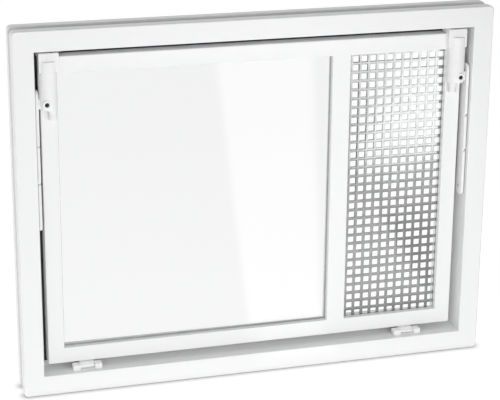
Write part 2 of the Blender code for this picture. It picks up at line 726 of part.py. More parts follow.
def main():
    clear_scene()
    white = make_material("white_plastic", (0.90, 0.90, 0.90), 0.28)
    grey_seal = make_material("grey_seal", (0.30, 0.31, 0.31), 0.6)
    black_seal = make_material("black_seal", (0.03, 0.03, 0.03), 0.6)
    glass = make_material("clear_glass", (0.93, 0.96, 0.95), 0.02, alpha=0.35)
    sheet_steel = make_material("galvanised_sheet", (0.62, 0.63, 0.63), 0.38, metallic=1.0)
    zinc = make_material("zinc_steel", (0.55, 0.56, 0.56), 0.35, metallic=1.0)
    coated = make_material("white_coated_steel", (0.88, 0.88, 0.88), 0.35)

    pivot = bpy.data.objects.new("sash_pivot", None)
    pivot.location = (0, AXIS_Y, AXIS_Z)
    bpy.context.scene.collection.objects.link(pivot)

    build_frame(white)
    build_rebate_seal(black_seal)
    build_sash_bars(white, pivot)
    build_mullion(white, pivot)
    build_glazing(grey_seal, white, glass, pivot)
    build_perforated_sheet(sheet_steel, pivot)
    for side in SIDES:
        build_hinge(side, white, zinc, pivot)
        build_keeper(side, zinc)
        build_corner_block(side, white, pivot)
        build_housing(side, white, zinc, pivot)
        build_bolt(side, white, zinc, black_seal, pivot)
        build_stay(side, coated, pivot)


main()
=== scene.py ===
"""Looks of the white tilt-in utility window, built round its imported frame.

The room side faces -Y and +Z is up. Profiles, mouldings and fittings that show are made again
here with rounded edges, and every surface gets a material made of nodes. Lengths are in metres.
"""

import json
import math

import bmesh
import bpy
from mathutils import Matrix, Vector


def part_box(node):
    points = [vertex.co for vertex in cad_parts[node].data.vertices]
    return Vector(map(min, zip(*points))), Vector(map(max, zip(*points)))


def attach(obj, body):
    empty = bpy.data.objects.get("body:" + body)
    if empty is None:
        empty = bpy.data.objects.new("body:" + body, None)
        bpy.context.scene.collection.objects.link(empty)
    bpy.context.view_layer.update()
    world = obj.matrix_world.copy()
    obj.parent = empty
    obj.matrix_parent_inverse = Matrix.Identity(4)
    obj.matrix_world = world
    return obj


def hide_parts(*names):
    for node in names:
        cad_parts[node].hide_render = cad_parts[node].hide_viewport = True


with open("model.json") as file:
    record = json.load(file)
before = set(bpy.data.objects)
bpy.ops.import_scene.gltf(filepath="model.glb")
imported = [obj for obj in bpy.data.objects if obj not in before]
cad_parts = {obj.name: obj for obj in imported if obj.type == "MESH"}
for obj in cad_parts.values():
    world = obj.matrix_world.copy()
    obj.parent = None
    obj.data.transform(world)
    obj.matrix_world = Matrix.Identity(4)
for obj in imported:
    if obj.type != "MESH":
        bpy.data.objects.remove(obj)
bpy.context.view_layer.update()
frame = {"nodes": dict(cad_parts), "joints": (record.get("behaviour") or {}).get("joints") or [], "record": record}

MM = 0.001
SIDES = {"left": -1, "right": 1}

# Outer frame
JAMB_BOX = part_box("frame_jamb_right")
FRONT = JAMB_BOX[0].y
REAR = JAMB_BOX[1].y
HALF_WIDTH = JAMB_BOX[1].x
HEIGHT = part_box("frame_head")[1].z
FRAME_FACE = 36 * MM
FLANGE = 19 * MM
WALL_GROOVE = 12 * MM
LIP_INSET = 56 * MM
LIP_THICK = 7.5 * MM
LIP_EDGE = 1 * MM
FRAME_CORNER = 8 * MM
FRAME_EDGE = 2.5 * MM
PROFILE_EDGE = 1.5 * MM
FINE_EDGE = 0.5 * MM
GUIDE_DEEP = 6 * MM
STUD_ROOM = 0.3 * MM
POCKET_ROOM = 0.6 * MM
POCKET_OVER = 3 * MM  # above the raised bolt

# Seal: a flat foot with a bulb along its middle
SEAL_WIDE = 10.5 * MM
SEAL_FOOT = 0.9 * MM
SEAL_EDGE = 0.3 * MM
BULB_HALF = 3 * MM
BULB_TOP_HALF = 2 * MM
BULB_ROUND = 0.8 * MM

# Sash
RAIL_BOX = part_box("sash_top_rail")
SASH_HALF = RAIL_BOX[1].x
SASH_TOP = RAIL_BOX[1].z
SASH_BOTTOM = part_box("sash_bottom_rail")[0].z
SASH_FRONT = RAIL_BOX[0].y
SASH_REAR = RAIL_BOX[1].y
SASH_FACE = 28.5 * MM
SASH_WEB = 18.5 * MM
SASH_LEG = 10.5 * MM
LEG_REAR = SASH_FRONT + SASH_LEG
SASH_CORNER = 3 * MM
SASH_EDGE = 2 * MM
SASH_REAR_EDGE = 1 * MM
MULLION_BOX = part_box("sash_mullion")
MULLION_WEB = 13.5 * MM

# Gaskets and snap-in beads
GASKET_LIPS = {"glass": 2 * MM, "mesh": 0.0}
GASKET_ROOM = 1 * MM
GASKET_BACK_EDGE = 0.3 * MM
GASKET_EDGE = 0.9 * MM
BEAD_TOP = 5.5 * MM
BEAD_STEP = 5 * MM
BEAD_EDGES = (0.3 * MM, 0.6 * MM, 1 * MM, 1.5 * MM, 0.4 * MM)

# Vent sheet
SHEET_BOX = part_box("perforated_sheet")
HOLE_PITCH = 16 * MM
HOLE_SIZE = 10.5 * MM
HOLE_CORNER = 1.3 * MM
HOLE_ROLL = 0.4 * MM
ROLL_PROFILE = ((0.5, 0.0), (-0.15, 0.3), (-0.5, 1.0))  # how far out and how deep, in HOLE_ROLL
HOLE_STEPS = 4
HOLE_COLUMNS = 12
HOLE_ROWS = 31
FIRST_HOLE_X = 167 * MM
FIRST_HOLE_Z = 80 * MM

# Fittings, given for the right-hand side
TOUCH = 0.3 * MM
RUNNING_FIT = 0.06 * MM
FIXED_FIT = 0.03 * MM
BOLT_X = 358.2 * MM
BOLT_Y = FRONT + 15 * MM
BOLT_RADIUS = 4 * MM
BOLT_TRAVEL = 9 * MM
BLOCK_EDGES = (1.5 * MM, 2.5 * MM)
BLOCK_END_EDGE = 0.9 * MM
HOUSING_X = 364.5 * MM
HOUSING_Y = FRONT + 20.5 * MM
HOUSING_RADIUS = 16 * MM
HOUSING_EDGE = 1.2 * MM
HOUSING_SPAN = (340 * MM, 386 * MM)  # wide enough to trim the sleeve's back
BOSS_X = 369 * MM
BOSS_Z = 523 * MM
BOSS_RADIUS = 7.5 * MM
BOSS_EDGE = 0.8 * MM
EAR_ROOT = 7 * MM
EAR_HALF = 8 * MM
EAR_ROUND = 7.5 * MM
PIVOT_RADIUS = 3 * MM
STUD_RADIUS = 2.5 * MM
KNOB_ROOM = 0.3 * MM
CAVITY_ROOM = 0.5 * MM  # over the raised knob
SCREW_SINK = 4 * MM
SCREW_WELL = 4 * MM
SHANK_RADIUS = 1.8 * MM
DOME_HIGH = 1.4 * MM
DOME_STEPS = 5
SCREW_HEAD = 2.2 * MM
RECESS_ARM = 2.3 * MM
RECESS_HALF = 0.45 * MM
RECESS_DEEP = 1.5 * MM
GRIP_GROOVES = (5 * MM, 8 * MM, 11 * MM)  # above the grip's foot
GROOVE_HALF = 0.8 * MM
GROOVE_FLOOR = 0.3 * MM
GROOVE_DEEP = 0.5 * MM
GRIP_FOOT = 2 * MM
GRIP_FOOT_STEPS = 6
GRIP_EDGE = 0.6 * MM
HINGE_EDGE = 1.2 * MM
HINGE_FLOOR = 1.5 * MM
HINGE_SLOT = 26 * MM
KEEPER_EDGE = 0.3 * MM
KEEPER_ROOM = 0.5 * MM
STAY_CORNER = 10 * MM
STAY_EDGE = 0.6 * MM
NOTCHES_Z = (385.5 * MM, 451 * MM)
NOTCH_HALF = 2.5 * MM
NOTCH_DEEP = 4.5 * MM

# Camera: a long lens, to the left of the window and above it
CAMERA_PLACE = (-0.7996, -2.6757, 1.2598)
CAMERA_TURN = (71.354, -0.492, -16.267)
CAMERA_LENS = 120.25
CAMERA_SENSOR = 36.0

# World: its brightness behind the window, in front of it and overhead, and its share at the right,
# with the parts of the direction's Y, Z and X over which one gives way to the next
WORLD_BACK = 1.05
WORLD_FRONT = 0.2
WORLD_TOP = 0.45
WORLD_RIGHT = 0.3
BACK_TO_FRONT = (0.5, -0.5)
UP_TO_TOP = (0.3, 0.75)
MIDDLE_TO_RIGHT = (0.2, 0.8)

# Floor: its glow rises towards the window, and a painted contact shadow darkens the glow where something touches
# it
FLOOR_HALF = 14.0
FLOOR_COLOUR = 0.18
FLOOR_GLOW = (0.22, 0.9)
FLOOR_GLOW_Y = (-1.6, -0.25)
PAINTED_CONTACT_SHADOW_REACH = 0.015

# Soft boxes: place, aim, width, height and power
KEY_BOX = ((-1.9, -2.6, 1.5), (0, 0, 0.3), 1.4, 1.4, 6)
FRONT_BOX = ((-0.05, -1.2, 0.55), (-0.05, 0, 0.3), 1.6, 0.5, 9.5)

# Glowing cards that only show in gloss, lying on the floor a millimetre apart, lowest first.
# Fade is the card's soft share at either end of its first side, then at either end of its last side.
LOWEST_CARD = 2 * MM
CARD_STEPS = 24
CARDS = {
    "front_grey": {
        "corners": [(-0.9, -0.04), (0.9, -0.04), (1.9, -2.7), (-0.6, -2.7)],
        "strength": 0.2,
        "fade": (0.02, 0.02, 0.02, 0.02),
    },
    "sheet_grey": {
        "corners": [(0.16, -0.05), (0.5, -0.05), (1.8, -2.6), (1.13, -2.6)],
        "strength": 0.8,
        "fade": (0.02, 0.02, 0.1, 0.02),
    },
    "sheet_dark": {
        "corners": [(0.433, -0.2), (0.5, -0.2), (0.8, -0.9), (0.54, -0.9)],
        "strength": 0.5,
        "fade": (0.02, 0.02, 0.1, 0.45),
    },
    "sheet_light": {
        "corners": [(0.5, -0.985), (0.83, -0.985), (1.53, -2.43), (1.02, -2.43)],
        "strength": 1.75,
        "fade": (0.01, 0.01, 1.2, 0.01),
    },
    "sheet_white": {
        "corners": [(0.51, -0.985), (0.83, -0.985), (1.53, -2.43), (1.346, -2.43)],
        "strength": 1.75,
        "fade": (0.01, 0.01, 0.2, 0.01),
    },
    "glare": {
        "corners": [(0.005, -0.05), (0.16, -0.05), (1.0, -2.6), (0.6, -2.6)],
        "strength": 2.0,
        "fade": (0.12, 0.12, 0.01, 0.05),
    },
}
HIGH_CARD = {
    "corners": [(-3.0, -1.6, 0.7), (0.6, -3.2, 0.7), (0.6, -2.2, 3.0), (-3.0, -0.8, 3.0)],
    "strength": 1.6,
    "fade": (0.2, 0.2, 0.2, 0.2),
}


# ---------------------------------------------------------------- shapes


def rounded(corners, steps=5):
    """Replace each (u, v, radius) corner of an outline with an arc."""
    points = []
    for i, (u, v, radius) in enumerate(corners):
        here = Vector((u, v))
        if radius == 0:
            points.append((u, v))
            continue
        before = (Vector(corners[i - 1][:2]) - here).normalized()
        after = (Vector(corners[(i + 1) % len(corners)][:2]) - here).normalized()
        half = before.angle(after) / 2
        centre = here + (before + after).normalized() * radius / math.sin(half)
        first = here + before * radius / math.tan(half) - centre
        last = here + after * radius / math.tan(half) - centre
        turn = first.angle_signed(last)
        for step in range(steps + 1):
            spoke = first.copy()
            spoke.rotate(Matrix.Rotation(-turn * step / steps, 2))
            points.append(tuple(centre + spoke))
    return points


def circle(centre, radius, steps=48, start=0.0, sweep=math.tau):
    count = steps if abs(sweep) >= math.tau else steps + 1
    angles = [start + sweep * i / steps for i in range(count)]
    return [(centre[0] + radius * math.cos(a), centre[1] + radius * math.sin(a)) for a in angles]


def prism(outline, axis, low, high):
    """Extrude a flat outline along X, Y or Z; its points hold the other two coordinates in order."""
    shape = bmesh.new()
    ends = []
    for along in (low, high):
        spots = [list(pair) for pair in outline]
        for spot in spots:
            spot.insert("XYZ".index(axis), along)
        ends.append([shape.verts.new(spot) for spot in spots])
    near, far = ends
    shape.faces.new(near)
    shape.faces.new(far)
    for i in range(len(outline)):
        j = (i + 1) % len(outline)
        shape.faces.new((near[i], near[j], far[j], far[i]))
    bmesh.ops.recalc_face_normals(shape, faces=shape.faces)
    return shape


def box(low, high):
    outline = [(low[0], low[1]), (high[0], low[1]), (high[0], high[1]), (low[0], high[1])]
    return prism(outline, "Z", low[2], high[2])


def rod(centre, radius, axis, low, high, steps=48):
    return prism(circle(centre, radius, steps), axis, low, high)


def turned(profile, centre, axis, steps=48):
    """Turn (radius, along) points round a line through centre along Y or Z.

    The profile starts and ends at radius 0.
    """
    shape = bmesh.new()
    rings = []
    for radius, along in profile:
        if radius == 0:
            rings.append([along])
            continue
        rings.append([(x, y, along) for x, y in circle((0, 0), radius, steps)])

    def place(spot):
        x, other, along = spot if isinstance(spot, tuple) else (0.0, 0.0, spot)
        if axis == "Z":
            return centre[0] + x, centre[1] + other, along
        return centre[0] + x, along, centre[1] + other

    made = [[shape.verts.new(place(spot)) for spot in ring] for ring in rings]
    for near, far in zip(made, made[1:]):
        for i in range(steps):
            j = (i + 1) % steps
            loop = [near[i % len(near)], near[j % len(near)], far[j % len(far)], far[i % len(far)]]
            shape.faces.new(list(dict.fromkeys(loop)))
    bmesh.ops.recalc_face_normals(shape, faces=shape.faces)
    return shape


def ring(low, high, section, corner=0.0, steps=8):
    """Sweep a closed (inset, y) section round a rectangle in XZ whose corners are rounded."""
    shape = bmesh.new()
    corners = [
        ((low[0], low[1]), (1, 1), math.pi),
        ((high[0], low[1]), (-1, 1), 1.5 * math.pi),
        ((high[0], high[1]), (-1, -1), 0.0),
        ((low[0], high[1]), (1, -1), 0.5 * math.pi),
    ]
    stations = []
    for (x, z), (inward_x, inward_z), start in corners:
        for step in range(steps + 1 if corner else 1):
            turn = start + 0.5 * math.pi * step / steps
            spots = []
            for inset, y in section:
                radius = max(corner - inset, 0.0)
                centre = max(corner, inset)
                bend = Vector((math.cos(turn), math.sin(turn))) * radius
                spots.append((x + inward_x * centre + bend.x, y, z + inward_z * centre + bend.y))
            stations.append([shape.verts.new(spot) for spot in spots])
    for i, near in enumerate(stations):
        far = stations[(i + 1) % len(stations)]
        for j in range(len(section)):
            k = (j + 1) % len(section)
            shape.faces.new((near[j], near[k], far[k], far[j]))
    bmesh.ops.remove_doubles(shape, verts=shape.verts, dist=0.001 * MM)
    bmesh.ops.recalc_face_normals(shape, faces=shape.faces)
    return shape


def combine(shape, tool, operation):
    """Cut tool from shape or join it to shape, and return the result."""
    pair = []
    for data in (shape, tool):
        mesh = bpy.data.meshes.new("work")
        data.to_mesh(mesh)
        data.free()
        obj = bpy.data.objects.new("work", mesh)
        bpy.context.scene.collection.objects.link(obj)
        pair.append(obj)
    step = pair[0].modifiers.new("step", "BOOLEAN")
    step.operation = operation
    step.solver = "EXACT"
    step.object = pair[1]
    bpy.context.view_layer.update()
    result = bmesh.new()
    result.from_mesh(pair[0].evaluated_get(bpy.context.evaluated_depsgraph_get()).data)
    for obj in pair:
        bpy.data.objects.remove(obj, do_unlink=True)
    bmesh.ops.remove_doubles(result, verts=result.verts, dist=0.001 * MM)
    return result


def cut(shape, tool):
    return combine(shape, tool, "DIFFERENCE")


def join(shape, tool):
    return combine(shape, tool, "UNION")


def soften(shape, width, least_angle=40):
    """Round every outward edge sharper than least_angle."""
    limit = math.radians(least_angle)
    edges = []
    for edge in shape.edges:
        if len(edge.link_faces) == 2 and edge.is_convex and edge.calc_face_angle() > limit:
            edges.append(edge)
    bmesh.ops.bevel(
        shape, geom=edges, offset=width, offset_type="OFFSET", segments=3, profile=0.5,
        affect="EDGES", clamp_overlap=True,
    )
    return shape


def mirrored_x(side, low, high):
    ends = (SIDES[side] * low, SIDES[side] * high)
    return min(ends), max(ends)


def piece(name, shape, material, body, slot, *nodes, smooth=38):
    """Turn a bmesh into a shown piece that rides on body and stands for the CAD nodes."""
    bmesh.ops.recalc_face_normals(shape, faces=shape.faces)
    mesh = bpy.data.meshes.new(name)
    shape.to_mesh(mesh)
    shape.free()
    mesh.materials.append(material)
    mesh.shade_smooth()
    mesh.set_sharp_from_angle(angle=math.radians(smooth))
    obj = bpy.data.objects.new(name, mesh)
    bpy.context.scene.collection.objects.link(obj)
    flats = obj.modifiers.new("flats", "WEIGHTED_NORMAL")
    flats.keep_sharp = True
    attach(obj, body)
    if nodes:
        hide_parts(*nodes)
    return obj


# ---------------------------------------------------------------- materials


class Nodes:
    """Short ways to add and join the nodes of one material."""

    def __init__(self, name):
        self.material = bpy.data.materials.new(name)
        self.material.use_nodes = True
        self.tree = self.material.node_tree
        self.shader = self.tree.nodes["Principled BSDF"]
        self.place = self.add("ShaderNodeTexCoord").outputs["Object"]

    def add(self, kind, **values):
        node = self.tree.nodes.new(kind)
        for key, value in values.items():
            setattr(node, key, value)
        return node

    def join(self, output, target):
        self.tree.links.new(output, target)

    def set(self, **values):
        for key, value in values.items():
            self.shader.inputs[key.replace("_", " ")].default_value = value

    def stretched(self, scale):
        """The place on the piece, scaled by a different number along each axis."""
        mapping = self.add("ShaderNodeMapping")
        mapping.inputs["Scale"].default_value = scale
        self.join(self.place, mapping.inputs["Vector"])
        return mapping.outputs["Vector"]

    def noise(self, scale, detail=2.0, place=None):
        node = self.add("ShaderNodeTexNoise")
        node.inputs["Scale"].default_value = scale
        node.inputs["Detail"].default_value = detail
        self.join(place or self.place, node.inputs["Vector"])
        return node.outputs["Fac"]

    def between(self, value, low, high, start=0.3, end=0.7):
        """Map value from start..end to low..high."""
        node = self.add("ShaderNodeMapRange")
        node.inputs["From Min"].default_value = start
        node.inputs["From Max"].default_value = end
        node.inputs["To Min"].default_value = low
        node.inputs["To Max"].default_value = high
        self.join(value, node.inputs["Value"])
        return node.outputs["Result"]

    def math(self, operation, first, second):
        node = self.add("ShaderNodeMath", operation=operation)
        for value, target in zip((first, second), node.inputs):
            if isinstance(value, (int, float)):
                target.default_value = value
            else:
                self.join(value, target)
        return node.outputs["Value"]

    def colours(self, value, low, high):
        """Mix two base colours by value."""
        node = self.add("ShaderNodeMix", data_type="RGBA")
        sockets = [s for s in node.inputs if s.type == "RGBA"]
        sockets[0].default_value = (*low, 1.0)
        sockets[1].default_value = (*high, 1.0)
        self.join(value, node.inputs[0])
        result = [s for s in node.outputs if s.type == "RGBA"][0]
        self.join(result, self.shader.inputs["Base Color"])

    def relief(self, value, depth, strength=1.0):
        node = self.add("ShaderNodeBump")
        node.inputs["Distance"].default_value = depth
        node.inputs["Strength"].default_value = strength
        self.join(value, node.inputs["Height"])
        self.join(node.outputs["Normal"], self.shader.inputs["Normal"])


def extruded_plastic():
    """White rigid plastic profile: glossy, with faint drawn lines along X and along Z."""
    n = Nodes("white_profile")
    n.set(IOR=1.5)
    n.colours(n.noise(5.0, 2.0), (0.892, 0.895, 0.897), (0.902, 0.905, 0.907))
    n.join(n.between(n.noise(40.0, 2.0), 0.25, 0.28, 0.0, 1.0), n.shader.inputs["Roughness"])
    across = n.noise(1.0, 1.0, n.stretched((2.0, 250.0, 250.0)))
    upright = n.noise(1.0, 1.0, n.stretched((250.0, 250.0, 2.0)))
    n.relief(n.math("ADD", across, upright), 0.003 * MM, 0.1)
    return n.material


def moulded_plastic():
    """White injection-moulded plastic, a little softer in gloss, with a fine grain."""
    n = Nodes("white_moulding")
    n.set(IOR=1.5)
    n.colours(n.between(n.noise(30.0), 0.0, 1.0), (0.88, 0.882, 0.885), (0.91, 0.912, 0.914))
    n.join(n.between(n.noise(160.0, 3.0), 0.26, 0.36), n.shader.inputs["Roughness"])
    n.relief(n.noise(900.0, 2.0), 0.008 * MM, 0.15)
    return n.material


def coated_steel():
    """White powder coat on steel, with its orange peel."""
    n = Nodes("white_coat")
    n.set(IOR=1.5)
    n.colours(n.between(n.noise(20.0), 0.0, 1.0), (0.86, 0.864, 0.868), (0.89, 0.893, 0.896))
    n.join(n.between(n.noise(90.0, 3.0), 0.28, 0.4), n.shader.inputs["Roughness"])
    n.relief(n.noise(700.0, 2.0), 0.02 * MM, 0.5)
    return n.material


def rubber(name, dark, light):
    """Matt rubber with a fine grain and slightly uneven gloss."""
    n = Nodes(name)
    n.colours(n.between(n.noise(60.0, 4.0), 0.0, 1.0), dark, light)
    n.join(n.between(n.noise(120.0, 3.0), 0.5, 0.7), n.shader.inputs["Roughness"])
    n.relief(n.noise(1800.0, 3.0), 0.02 * MM, 0.5)
    return n.material


def galvanised_steel():
    """Zinc-dipped sheet: a crystal spangle in slightly different greys, and a fine grain."""
    n = Nodes("galvanised")
    n.set(Metallic=1.0)
    cells = n.add("ShaderNodeTexVoronoi", feature="F1")
    cells.inputs["Scale"].default_value = 130.0
    cells.inputs["Randomness"].default_value = 1.0
    n.join(n.place, cells.inputs["Vector"])
    apart = n.add("ShaderNodeSeparateColor")
    n.join(cells.outputs["Color"], apart.inputs["Color"])
    crystal = n.math("MULTIPLY", apart.outputs["Red"], 0.65)
    grain = n.math("MULTIPLY", n.noise(420.0, 5.0), 0.35)
    mixed = n.math("ADD", crystal, grain)
    n.colours(mixed, (0.41, 0.415, 0.42), (0.58, 0.585, 0.59))
    n.join(n.between(mixed, 0.03, 0.07, 0.0, 1.0), n.shader.inputs["Roughness"])
    n.relief(n.noise(260.0, 3.0), 0.02 * MM, 0.35)
    return n.material


def zinc_steel():
    """Bright zinc plate on small steel parts, with a faint grain."""
    n = Nodes("zinc_plate")
    n.set(Metallic=1.0)
    n.colours(n.between(n.noise(220.0, 4.0), 0.0, 1.0), (0.42, 0.425, 0.43), (0.6, 0.605, 0.6))
    n.join(n.between(n.noise(500.0, 3.0), 0.25, 0.42), n.shader.inputs["Roughness"])
    n.relief(n.noise(1500.0, 2.0), 0.01 * MM, 0.4)
    return n.material


def screw_painted_shade():
    """Steel screw head coloured near black as painted shade of the sunk well round it."""
    n = Nodes("screw_painted_shade")
    n.set(Metallic=0.8)
    # Near-black base colour: painted shade of the screw's sunk well.
    n.colours(n.between(n.noise(300.0, 4.0), 0.0, 1.0), (0.05, 0.05, 0.052), (0.11, 0.11, 0.11))
    n.join(n.between(n.noise(500.0, 3.0), 0.35, 0.5), n.shader.inputs["Roughness"])
    return n.material


def window_glass():
    """Clear float glass with a slight wave and slightly uneven gloss."""
    n = Nodes("float_glass")
    n.set(Transmission_Weight=1.0, IOR=1.5, Base_Color=(0.93, 0.935, 0.933, 1.0))
    n.join(n.between(n.noise(25.0, 4.0), 0.0, 0.02), n.shader.inputs["Roughness"])
    n.relief(n.noise(1.0, 1.0, n.stretched((5.0, 5.0, 3.0))), 0.02 * MM, 0.4)
    return n.material


# ---------------------------------------------------------------- outer frame


def stud_spot(side, share):
    """Where the stay's stud is, in (y, z), at a share of the sash's full tilt."""
    joints = {joint["name"]: joint for joint in frame["joints"]}
    couplings = {c["joint"]: c["ratio"] for c in frame["record"]["behaviour"]["couplings"]}
    tilt = joints["sash_tilt"]
    swing = joints[f"stay_{side}_swing"]
    angle = math.radians(tilt["range_deg"][1]) * share
    low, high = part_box("stay_stud_" + side)
    stud = Vector(((low.y + high.y) / 2, (low.z + high.z) / 2))
    pivot = Vector(swing["pos_m"][1:])
    axis = Vector(tilt["pos_m"][1:])
    arm = stud - pivot
    arm.rotate(Matrix.Rotation(angle * (1 + couplings[swing["name"]]), 2))
    reach = pivot - axis
    reach.rotate(Matrix.Rotation(angle, 2))
    return axis + reach + arm, (high.z - low.z) / 2


def guide_outline(side):
    """The guide slot's outline in (y, z): the stud's path, widened by its radius and room."""
    steps = 10
    path = [stud_spot(side, i / steps)[0] for i in range(steps + 1)]
    reach = stud_spot(side, 0)[1] + STUD_ROOM
    headings = [(path[min(i + 1, steps)] - path[max(i - 1, 0)]).normalized() for i in range(steps + 1)]
    offsets = [Vector((-h.y, h.x)) * reach for h in headings]
    start = math.atan2(offsets[0].y, offsets[0].x)
    end = math.atan2(-offsets[-1].y, -offsets[-1].x)
    outline = [tuple(p + s) for p, s in zip(path[1:-1], offsets[1:-1])]
    outline += circle(path[-1], reach, 8, end + math.pi, -math.pi)
    outline += [tuple(p - s) for p, s in zip(path[-2:0:-1], offsets[-2:0:-1])]
    outline += circle(path[0], reach, 8, start + math.pi, -math.pi)
    return outline


def build_frame(plastic):
    """The four outer bars as one moulded ring, with the stays' guide slots and the bolts' pockets."""
    section = rounded(
        [
            (0, FRONT, FRAME_EDGE),
            (0, FRONT + FLANGE, FINE_EDGE),
            (WALL_GROOVE, FRONT + FLANGE, FINE_EDGE),
            (WALL_GROOVE, REAR - FLANGE, FINE_EDGE),
            (0, REAR - FLANGE, FINE_EDGE),
            (0, REAR, PROFILE_EDGE),
            (LIP_INSET, REAR, LIP_EDGE),
            (LIP_INSET, REAR - LIP_THICK, LIP_EDGE),
            (FRAME_FACE, REAR - LIP_THICK, FINE_EDGE),
            (FRAME_FACE, FRONT, PROFILE_EDGE),
        ]
    )
    shape = ring((-HALF_WIDTH, 0.0), (HALF_WIDTH, HEIGHT), section, FRAME_CORNER)
    reveal = HALF_WIDTH - FRAME_FACE
    head = HEIGHT - FRAME_FACE
    for side, sign in SIDES.items():
        low, high = mirrored_x(side, reveal - MM, reveal + GUIDE_DEEP)
        shape = cut(shape, prism(guide_outline(side), "X", low, high))
        pocket_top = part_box("latch_bolt_" + side)[1].z + BOLT_TRAVEL + POCKET_OVER
        spot = (sign * BOLT_X, BOLT_Y)
        shape = cut(shape, rod(spot, BOLT_RADIUS + POCKET_ROOM, "Z", head - MM, pocket_top))
    bars = ("frame_head", "frame_sill", "frame_jamb_left", "frame_jamb_right")
    piece("frame_ring", shape, plastic, "frame", "white_plastic", *bars)


def build_seal(dark_rubber):
    """A flat foot against the lip with a soft bulb that the closed sash presses on."""
    low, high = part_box("rebate_seal")
    middle = SEAL_WIDE / 2
    foot = low.y + SEAL_FOOT
    section = rounded(
        [
            (0, high.y, 0),
            (0, foot, SEAL_EDGE),
            (middle - BULB_HALF, foot, SEAL_EDGE),
            (middle - BULB_TOP_HALF, low.y, BULB_ROUND),
            (middle + BULB_TOP_HALF, low.y, BULB_ROUND),
            (middle + BULB_HALF, foot, SEAL_EDGE),
            (SEAL_WIDE, foot, SEAL_EDGE),
            (SEAL_WIDE, high.y, 0),
        ],
        3,
    )
    shape = ring((low.x, low.z), (high.x, high.z), section)
    # The seal's near-black rubber is partly its own colour and partly painted shade for the deep gap behind the
    # sash.
    piece("seal_ring", shape, dark_rubber, "frame", "black_seal", "rebate_seal")


# ---------------------------------------------------------------- sash


def build_sash(plastic):
    """The sash's four L-shaped bars as one welded ring."""
    section = rounded(
        [
            (0, SASH_FRONT, SASH_EDGE),
            (0, SASH_REAR, SASH_REAR_EDGE),
            (SASH_WEB, SASH_REAR, FINE_EDGE),
            (SASH_WEB, LEG_REAR, 0),
            (SASH_FACE, LEG_REAR, FINE_EDGE),
            (SASH_FACE, SASH_FRONT, PROFILE_EDGE),
        ]
    )
    shape = ring((-SASH_HALF, SASH_BOTTOM), (SASH_HALF, SASH_TOP), section, SASH_CORNER)
    bars = ("sash_top_rail", "sash_bottom_rail", "sash_stile_left", "sash_stile_right")
    piece("sash_ring", shape, plastic, "sash", "white_plastic", *bars)


def build_mullion(plastic):
    """The T-shaped bar between the glass and the vent, let into the rails' rounded edges."""
    left, right = MULLION_BOX[0].x, MULLION_BOX[1].x
    middle = (left + right) / 2
    outline = rounded(
        [
            (left, SASH_FRONT, PROFILE_EDGE),
            (right, SASH_FRONT, PROFILE_EDGE),
            (right, LEG_REAR, 0),
            (middle + MULLION_WEB / 2, LEG_REAR, 0),
            (middle + MULLION_WEB / 2, SASH_REAR, FINE_EDGE),
            (middle - MULLION_WEB / 2, SASH_REAR, FINE_EDGE),
            (middle - MULLION_WEB / 2, LEG_REAR, 0),
            (left, LEG_REAR, 0),
        ]
    )
    low = SASH_BOTTOM + SASH_FACE - PROFILE_EDGE
    high = SASH_TOP - SASH_FACE + PROFILE_EDGE
    bar = prism(outline, "Z", low, high)
    piece("mullion_bar", bar, plastic, "sash", "white_plastic", "sash_mullion")


def opening(field):
    """The visible opening of the glass or the mesh field, as low and high corners in XZ."""
    low_z = SASH_BOTTOM + SASH_FACE
    high_z = SASH_TOP - SASH_FACE
    if field == "glass":
        return (-SASH_HALF + SASH_FACE, low_z), (MULLION_BOX[0].x, high_z)
    return (MULLION_BOX[1].x, low_z), (SASH_HALF - SASH_FACE, high_z)


def build_glazing(grey_rubber, plastic, glass):
    """Gaskets in front of the infills, the pane, and snap-in beads behind."""
    for field, lip in GASKET_LIPS.items():
        low, high = opening(field)
        gasket_low, gasket_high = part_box(field + "_gasket")
        front, back = gasket_low.y, gasket_high.y
        outward = SASH_FACE - SASH_WEB - GASKET_ROOM
        section = rounded(
            [
                (-outward, front, 0),
                (-outward, back, 0),
                (lip, back, GASKET_BACK_EDGE),
                (lip, front, GASKET_EDGE),
            ]
        )
        shape = ring(low, high, section)
        piece(field + "_gasket_ring", shape, grey_rubber, "sash", "grey_seal", field + "_gasket")
        bead_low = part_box(field + "_bead")[0]
        outward = SASH_FACE - SASH_WEB - TOUCH
        section = rounded(
            [
                (-outward, bead_low.y, BEAD_EDGES[0]),
                (-outward, SASH_REAR, BEAD_EDGES[1]),
                (-BEAD_TOP, SASH_REAR, BEAD_EDGES[2]),
                (0, bead_low.y + BEAD_STEP, BEAD_EDGES[3]),
                (0, bead_low.y, BEAD_EDGES[4]),
            ]
        )
        shape = ring(low, high, section)
        piece(field + "_bead_ring", shape, plastic, "sash", "white_plastic", field + "_bead")
    pane = soften(box(*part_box("glass_pane")), FINE_EDGE)
    pane = piece("pane", pane, glass, "sash", "clear_glass", "glass_pane")
    pane.visible_shadow = False


def sheet_lines(low, high, first, count):
    """Cell edges across the sheet, and which gaps between them hold a hole."""
    edges = [first + (i - 0.5) * HOLE_PITCH for i in range(count + 1)]
    lines = [low] + edges[1:-1]
    holes = list(range(count))
    if edges[0] > low + MM:
        lines.insert(1, edges[0])
        holes = [h + 1 for h in holes]
    if edges[-1] < high - MM:
        lines.append(edges[-1])
    return lines + [high], holes


def hole_outline(extra):
    """A hole's round-cornered outline in XZ about its middle, larger by extra."""
    half = HOLE_SIZE / 2 + extra
    radius = HOLE_CORNER + extra
    corners = [(-half, -half), (half, -half), (half, half), (-half, half)]
    return rounded([(x, z, radius) for x, z in corners], HOLE_STEPS)


def hole_levels(front, back):
    """The hole's outlines from the rolled front edge to the back, with their Y."""
    levels = [(hole_outline(out * HOLE_ROLL), front + deep * HOLE_ROLL) for out, deep in ROLL_PROFILE]
    return levels + [(levels[-1][0], back)]


